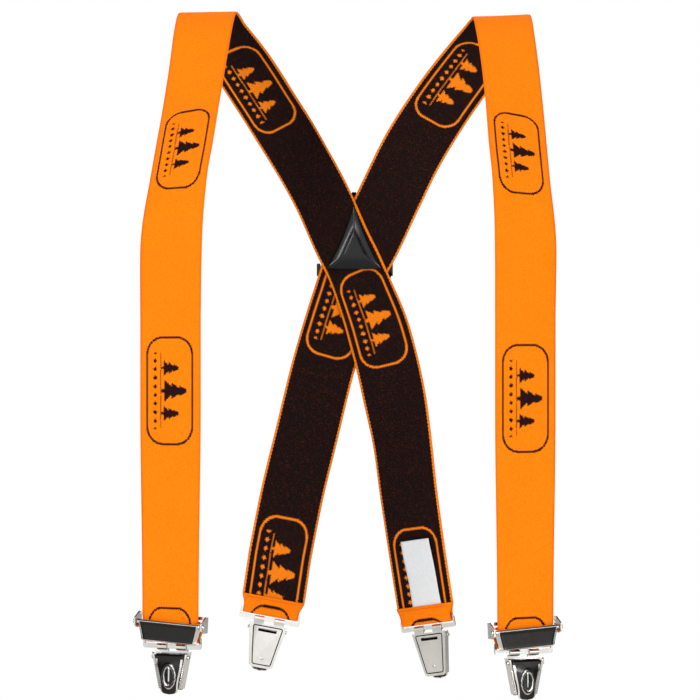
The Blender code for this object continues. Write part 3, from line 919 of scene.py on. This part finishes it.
def rolled_profile(radius, start, rows):
    """(y, z, share) rows of sheet metal curled round a pin, up to the front of it."""
    angles = np.radians(np.linspace(start, 0, rows))
    return [(-radius * cos(angle), -radius * sin(angle), 0.0) for angle in angles]


def lever_nose(end):
    """The height of a lever's lower end, from its pin."""
    return -(BARS[end]["clip"] + NOSE_REACH + PIN_Z)


def lever_width(end, z):
    """Half the lever's width at height z: a taper down to a round nose."""
    wide = LEVER_HALF_WIDTH[end.split("_")[0]]
    nose = lever_nose(end)
    width = wide + (NOSE_HALF_WIDTH - wide) * ease(z / nose, 0.02, 0.86)
    nose_length = NOSE_HALF_WIDTH * 0.8
    tip = (z - (nose + nose_length)) / nose_length
    if tip < 0:
        width *= max(1 - tip**4, 0.004) ** 0.4
    return width


def lever_points(end):
    """The lever's outer skin: a curl round the pin, then a crowned panel with a pressed emblem."""
    nose = lever_nose(end)
    profile = rolled_profile(CURL_RADIUS, -150, CURL_ROWS)
    profile += [(-CURL_RADIUS, z, z / nose) for z in np.linspace(-0.0006, nose, 56)]
    rows = []
    for y, z, share in profile:
        width = lever_width(end, z)
        crown = LEVER_CROWN * ease(share, 0.02, 0.25) * (1 - 0.5 * ease(share, 0.7, 1.0))
        row = []
        for u in np.linspace(-1, 1, 41):
            pressed = EMBOSS_HEIGHT * emboss(u * width, z - nose / 2) * (share > 0)
            row.append((u * width, y - crown * (1 - u * u) - pressed, z))
        rows.append(row)
    return rows


def make_lever(end, materials):
    """A black-nickel lever, with painted highlights of bright nickel at its sides and on its emblem's
    flanks.
    """
    points = lever_points(end)
    last = len(points[0]) - 2

    # The faces that get painted highlights: the lever's sides and the slopes of its emblem.
    def painted_highlight(row, column):
        x, _, z = points[row][column]
        raised = emboss(x, z - points[-1][0][2] / 2)
        return row > CURL_ROWS and (min(column, last - column) < 3 or 0.25 < raised < 0.85)

    skin = surface_object(f"{end}_lever_panel", points, painted_highlight, 0.0009, materials, lever_frame(end))
    finish_piece(skin, f"{end}_lever", "nickel", f"{end}_clip_lever")


def flip_plate_points():
    """The flip plate's skin: a rolled top, a flat panel with folded sides, and a turned lip."""
    top, foot, height = COVER_SIZE
    profile = rolled_profile(ROLL_RADIUS, -200, ROLL_ROWS)
    for z in np.linspace(-0.0006, -height, 30):
        share = -z / height
        y = -ROLL_RADIUS + 0.0005 * ease(share, 0.02, 0.14) - 0.0003 * ease(share, 0.8, 0.95)
        profile.append((y + 0.0009 * ease(share, 0.93, 1.0), z, share))
    rows = []
    for y, z, share in profile:
        width = top + (foot - top) * share
        row = []
        for u in np.linspace(-1, 1, 61):
            inset = (1 - abs(u)) * width
            fold = 0.0022 * (1 - ease(inset, 0.0003, 0.0034)) * ease(share, 0.02, 0.2)
            row.append((u * width, y + fold, z))
        rows.append(row)
    return rows


def make_adjuster(side, materials):
    """A black-nickel flip plate with painted highlights of bright nickel on its lip, its folded sides and
    the upper front of its roll, and the frame and pin that carry it.
    """
    hinge = adjuster_frame(side) @ Matrix.Translation(PLATE_PIN)
    points = flip_plate_points()
    last_row, last_column = len(points) - 2, len(points[0]) - 2

    # The faces that get painted highlights: the lip rows, the side columns and the upper front of the roll.
    def painted_highlight(row, column):
        rim = row > last_row - 2 or min(column, last_column - column) < 3
        return rim or ROLL_ROWS - 11 < row < ROLL_ROWS - 2

    cover = surface_object(f"{side}_flip_cover", points, painted_highlight, 0.0007, materials, hinge)
    finish_piece(cover, f"{side}_flip_plate", "nickel", f"{side}_adjuster_plate")
    nickel, body = materials["nickel"], f"{side}_adjuster"
    refined(f"{side}_adjuster_frame", f"{side}_slide_frame", nickel, 0.00040, body, "nickel")
    refined(f"{side}_adjuster_pin", f"{side}_slide_pin", nickel, 0.00018, body, "steel")


def make_base_rim(end, materials):
    """The pressed rim on the flat back of a clip, in black nickel on the bright back: a painted dark outline
    that stands in for the shade along the rim.
    """
    length = BARS[end]["clip"]
    top, foot = 0.0118, 0.0072
    head, toe = -0.0052, 0.0024 - length
    outline = rounded_outline([(-top, head), (top, head), (foot, toe), (-foot, toe)], 0.0016, steps=5)
    count = len(outline)
    mesh_data = bmesh.new()
    rings = []
    for i, point in enumerate(outline):
        ahead = outline[(i + 1) % count] - outline[i - 1]
        beside = Vector((ahead.y, -ahead.x)).normalized()
        ring = []
        for k in range(ROUND_SIDES):
            angle = 2 * pi * k / ROUND_SIDES
            spot = point + beside * RIM_WIDTH * cos(angle)
            ring.append(mesh_data.verts.new((spot.x, BASE_BACK + RIM_HEIGHT * sin(angle), spot.y)))
        rings.append(ring)
    for near, far in zip(rings, rings[1:] + rings[:1]):
        bridge(mesh_data, near, far)
    # Black nickel on the rim is painted shade: a dark outline round the bright back.
    rim = object_from(f"{end}_base_rim", mesh_data, materials["panel"], rail_frame(end))
    finish_piece(rim, f"{end}_clip", "nickel")


def make_weld_dimple(end, materials):
    """The shallow spot-weld dimple near the foot of a clip's back."""
    mesh_data = bmesh.new()
    middle = Vector((0, BASE_BACK, 0.0075 - BARS[end]["clip"]))
    pole = Vector((0, 0.2 * DIMPLE_RADIUS, 0))
    rings = []
    for angle in np.linspace(0, pi, 11)[1:-1]:
        rings.append([])
        for turn in np.linspace(0, 2 * pi, 21)[:-1]:
            beside = Vector((cos(turn), 0, sin(turn))) * DIMPLE_RADIUS * sin(angle)
            rings[-1].append(mesh_data.verts.new(middle + pole * cos(angle) + beside))
    for low, high in zip(rings, rings[1:]):
        bridge(mesh_data, low, high)
    for ring, tip in ((rings[0], middle + pole), (rings[-1], middle - pole)):
        top = mesh_data.verts.new(tip)
        for i in range(len(ring)):
            mesh_data.faces.new((ring[i - 1], ring[i], top))
    dimple = object_from(f"{end}_weld_dimple", mesh_data, materials["nickel"], rail_frame(end))
    finish_piece(dimple, f"{end}_clip", "nickel")


def make_clip(end, materials):
    nickel = materials["nickel"]
    make_base_rim(end, materials)
    make_weld_dimple(end, materials)
    refined(f"{end}_ring", f"{end}_stamped_ring", nickel, 0.00055, f"{end}_ring", "nickel")
    refined(f"{end}_clip_base", f"{end}_channel", nickel, 0.00030, f"{end}_clip", "nickel")
    refined(f"{end}_clip_pin", f"{end}_headed_pin", nickel, 0.00015, f"{end}_clip", "steel")
    refined(f"{end}_clip_pad", f"{end}_grip_pad", materials["pad"], 0.0004, f"{end}_lever", "plastic")
    make_lever(end, materials)


def rounded_outline(corners, radius, steps=6):
    """A closed outline with its corners rounded by short curves."""
    made = []
    for i, corner in enumerate(corners):
        corner = Vector(corner)
        before = (Vector(corners[i - 1]) - corner).normalized() * radius
        after = (Vector(corners[(i + 1) % len(corners)]) - corner).normalized() * radius
        for k in range(steps + 1):
            t = k / steps
            made.append(corner + before * (1 - t) ** 2 + after * t**2)
    return made


def extruded(name, outline, look):
    """A flat moulding of BAR_DEPTH in the cross plate's plane, with rolled edges."""
    mesh_data = bmesh.new()
    front = [mesh_data.verts.new((p.x, CROSS_Y - BAR_DEPTH / 2, p.y)) for p in outline]
    back = [mesh_data.verts.new((p.x, CROSS_Y + BAR_DEPTH / 2, p.y)) for p in outline]
    bridge(mesh_data, front, back)
    mesh_data.faces.new(front[::-1])
    mesh_data.faces.new(back)
    made = object_from(name, mesh_data, look)
    roll_edges(made, "moulded_edge", 0.0003, 40)
    return made


def bar_outline(start, end):
    along = (end - start).normalized()
    beside = Vector((-along.y, along.x)) * BAR_WIDTH / 2
    return rounded_outline([start - beside, end - beside, end + beside, start + beside], BAR_WIDTH * 0.3)


def dished(name, outline, front, back, crown, look):
    """A moulding with a domed front face, which stands proud by crown at its middle."""
    middle = sum(outline, Vector((0, 0))) / len(outline)
    mesh_data = bmesh.new()
    rings = [[mesh_data.verts.new((p.x, back, p.y)) for p in outline]]
    for share in (1.0, 0.985, 0.94, 0.85, 0.7, 0.5, 0.3, 0.12):
        rim = 0.0003 if share == 1.0 else 0
        depth = front - crown * (1 - share**2) + rim
        points = [middle + (p - middle) * share for p in outline]
        rings.append([mesh_data.verts.new((p.x, depth, p.y)) for p in points])
    for low, high in zip(rings, rings[1:]):
        bridge(mesh_data, low, high)
    mesh_data.faces.new(rings[0])
    mesh_data.faces.new(rings[-1])
    return object_from(name, mesh_data, look)


def centre_outline(apex, foot_left, foot_right):
    """The cross plate's triangle, with hollow sides and a slightly full foot."""
    points = []
    sides = ((apex, foot_right, 0.0022), (foot_right, foot_left, -0.0006), (foot_left, apex, 0.0022))
    for start, end, hollow in sides:
        along = end - start
        inward = Vector((along.y, -along.x)).normalized()
        for t in np.linspace(0, 1, 14)[:-1]:
            points.append(start + along * t + inward * hollow * 4 * t * (1 - t))
    return points


def make_cross_plate(materials):
    """A dished centre in front of the straps, held by arms at its corners to the bars behind them."""
    plastic = materials["plastic"]
    apex = Vector((CROSS_X, -0.1400))
    foot_left, foot_right = Vector((CROSS_X - 0.0215, -0.1925)), Vector((CROSS_X + 0.0215, -0.1925))
    outline = centre_outline(apex, foot_left, foot_right)
    centre = dished("cross_centre", outline, CROSS_Y - 0.0007, CROSS_Y + 0.0005, 0.0030, plastic)
    finish_piece(centre, "harness", "plastic", "cross_plate")
    top = Vector((CROSS_X, -0.1322))
    left, right = Vector((CROSS_X - 0.0280, -0.1985)), Vector((CROSS_X + 0.0292, -0.1985))
    post = Vector((0, 0.0100))
    bars = {
        "cross_bar_left": (left, top),
        "cross_bar_right": (top, right),
        "cross_bar_foot": (right, left),
        "cross_arm_top": (top, apex),
        "cross_arm_left": (left, foot_left),
        "cross_arm_right": (right, foot_right),
        "cross_post_left": (left, left + post),
        "cross_post_right": (right, right + post),
    }
    for name, (start, end) in bars.items():
        bar = extruded(name, bar_outline(start, end), plastic)
        finish_piece(bar, "harness", "plastic")


def make_stitches(name, place, half_width, count, materials):
    """A row of lock stitches: short rounded bars of thread that dip at both ends."""
    mesh_data = bmesh.new()
    pitch = 2 * half_width / count
    for i in range(count):
        middle = -half_width + pitch * (i + 0.5)
        rings = []
        for t in np.linspace(-1, 1, 7):
            radius = THREAD_RADIUS * np.sqrt(max(1 - (0.93 * t) ** 2, 0.02))
            x = middle + t * pitch * 0.42
            rise = THREAD_RISE * (1 - t * t)
            ring = []
            for k in range(ROUND_SIDES):
                angle = 2 * pi * k / ROUND_SIDES
                ring.append(mesh_data.verts.new((x, rise + radius * cos(angle), radius * sin(angle))))
            rings.append(ring)
        for low, high in zip(rings, rings[1:]):
            bridge(mesh_data, low, high)
        mesh_data.faces.new(rings[0][::-1])
        mesh_data.faces.new(rings[-1])
    return object_from(name, mesh_data, materials["thread"], place)


def label_grid():
    """The label's points: sewn in at the fold's end, and lifting a little at its top."""
    place = bar_frame("rear_right")
    width, length = LABEL_SIZE
    foot = FOLD_HEIGHT - SEAM_DROP
    surface = -FOLD_OFFSET + STRAP_THICKNESS / 2 + LABEL_THICKNESS
    grid = []
    for share in np.linspace(0, 1, LABEL_ROWS):
        row = []
        for u in np.linspace(-1, 1, 17):
            curl = 0.0016 * ease(share, 0.25, 1.0) * (0.55 + 0.45 * u * u)
            lift = 0.00010 + curl + 0.0003 * sin(share * 9 + u)
            x = LABEL_LEFT + width / 2 * (u + 1)
            row.append(tuple(place @ Vector((x, surface + lift, foot + share * length))))
        grid.append(row)
    return np.array(grid)


def make_label(materials):
    """The blank care label."""
    width, length = LABEL_SIZE
    looks = dict.fromkeys(("outer", "inner", "edge"), materials["label"])
    along = np.linspace(0, length, LABEL_ROWS)
    label = strap_mesh("satin_label", label_grid(), along, LABEL_THICKNESS, looks)
    finish_piece(label, "harness", "label", "care_label")


def make_seams(materials):
    """The stitches of the rear folds and of the tails' flaps, each on the face of its strap."""
    surface = STRAP_THICKNESS / 2 + 0.0001
    for side in ("left", "right"):
        rear = Matrix.Translation((0, FOLD_OFFSET + surface, FOLD_HEIGHT - SEAM_DROP))
        rear = bar_frame(f"rear_{side}") @ rear
        made = make_stitches(f"{side}_rear_stitches", rear, 0.0215, 17, materials)
        finish_piece(made, "harness", "thread", f"{side}_rear_seam")
        tail = Matrix.Translation((0, LOOP_RADIUS + surface, FLAP_SEAM_HEIGHT))
        tail = bar_frame(f"front_{side}") @ tail
        made = make_stitches(f"{side}_tail_stitches", tail, 0.0190, 15, materials)
        finish_piece(made, f"{side}_loop", "thread", f"{side}_tail_seam")


# ---- studio


def make_camera():
    data = bpy.data.cameras.new("camera")
    data.sensor_width = 36
    data.lens = 174.6
    data.clip_end = 50
    camera = linked("camera", data)
    camera.location = (0.0015, -2.6, -0.2569)
    camera.rotation_euler = (pi / 2, 0, 0)
    bpy.context.scene.camera = camera


def area_light(name, location, target, size, power):
    data = bpy.data.lights.new(name, "AREA")
    data.shape = "RECTANGLE"
    data.size, data.size_y = size
    data.energy = power
    light = linked(name, data)
    light.location = location
    aim = Vector(target) - Vector(location)
    light.rotation_euler = aim.to_track_quat("-Z", "Y").to_euler()


def make_floor():
    """A pale floor, which the metal reflects a little darker."""
    mesh_data = bmesh.new()
    bmesh.ops.create_grid(mesh_data, x_segments=1, y_segments=1, size=1.1)
    look, tree, shader = new_material("studio_floor", 0.9)
    mirror = Term(tree, tree.nodes.new("ShaderNodeLightPath").outputs["Is Glossy Ray"])
    pale = blend_colours(tree, mirror, (0.93, 0.93, 0.93), (0.62, 0.60, 0.58))
    tree.links.new(pale, shader.inputs["Base Color"])
    floor = object_from("studio_floor", mesh_data, look, Matrix.Translation((0, 0, -0.64)))


def make_lights():
    """Soft boxes at the front, the top and the back."""
    middle = (0, 0, -0.27)
    area_light("key", (-1.2, -1.9, 0.5), middle, (0.7, 0.7), 25)
    area_light("fill", (1.5, -1.7, -0.1), middle, (0.5, 0.9), 17)
    area_light("top", (0, -0.5, 1.5), middle, (1.2, 0.3), 4)
    area_light("back", (0.2, 1.9, 0.5), middle, (1.2, 1.0), 14)


def make_surround():
    """White to the camera and pale grey as a light. Metal sees it bright in front and dark at the sides."""
    world = bpy.data.worlds.new("surround")
    bpy.context.scene.world = world
    world.use_nodes = True
    tree = world.node_tree
    path = tree.nodes.new("ShaderNodeLightPath")
    coordinates = tree.nodes.new("ShaderNodeTexCoord")
    split = tree.nodes.new("ShaderNodeSeparateXYZ")
    tree.links.new(coordinates.outputs["Generated"], split.inputs[0])
    y, z = Term(tree, split.outputs["Y"]), Term(tree, split.outputs["Z"])
    ahead = (y * -2.6 - 0.72).at_least(0).at_most(1)
    behind = (y * 1.2 - 0.5).at_least(0).at_most(0.5)
    above = (z * 3 + 1.7).at_least(0.05).at_most(1)
    mirrored = blend_colours(tree, ahead * above + behind, (0.03, 0.026, 0.022), (1.45, 1.45, 1.45))
    mirror = Term(tree, path.outputs["Is Glossy Ray"])
    graded = blend_colours(tree, mirror, (0.66, 0.66, 0.66), mirrored)
    seen = Term(tree, path.outputs["Is Camera Ray"])
    colour = blend_colours(tree, seen, graded, (1.0, 1.0, 1.0))
    tree.links.new(colour, tree.nodes["Background"].inputs["Color"])


def main():
    make_camera()
    make_floor()
    make_lights()
    make_surround()
    bpy.context.scene.view_settings.view_transform = "Standard"
    materials = make_materials()
    for side in ("left", "right"):
        make_strap(side, materials)
        make_adjuster(side, materials)
    for end in BARS:
        make_clip(end, materials)
    make_cross_plate(materials)
    make_label(materials)
    make_seams(materials)


main()
